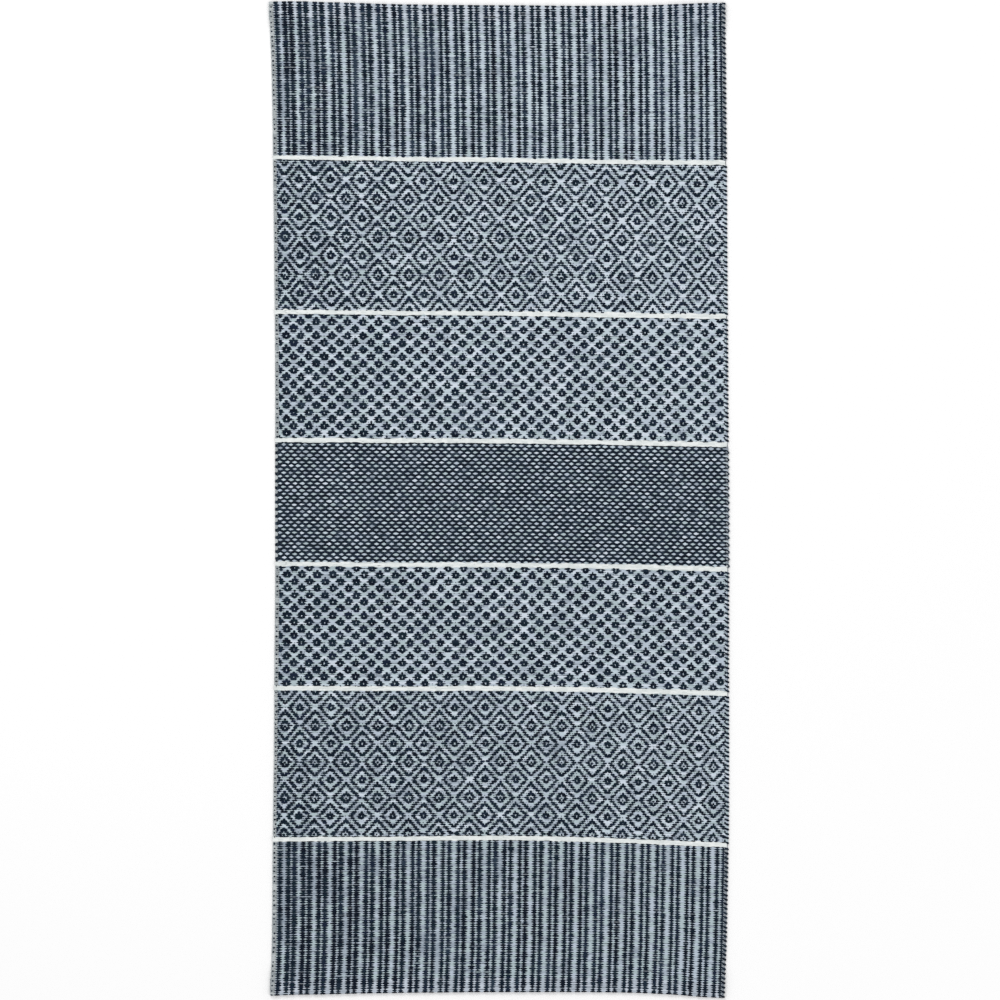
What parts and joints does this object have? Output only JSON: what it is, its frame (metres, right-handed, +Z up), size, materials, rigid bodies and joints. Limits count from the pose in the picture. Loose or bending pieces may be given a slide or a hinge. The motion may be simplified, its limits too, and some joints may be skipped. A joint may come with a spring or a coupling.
{
  "type": "outdoor rug",
  "caption": "Flat-woven outdoor runner rug with hems turned under at its ends, woven in bands of ticking stripes, diamonds, dots and dashes between white lines.",
  "frame": {"origin": "middle of the rug's outline, on the floor that it lies on", "axes": "+X across the rug, +Y along it, towards the end that is at the top of the picture, +Z up, out of the rug's face"},
  "size_m": [0.6962, 1.5056, 0.006],
  "materials": {
    "cloth": "flat-woven plastic yarn in near-black blue and pale grey, with white weft lines, matte with a slight sheen on each float"
  },
  "bodies": {
    "root": {"rug": "cloth"}
  },
  "joints": []
}
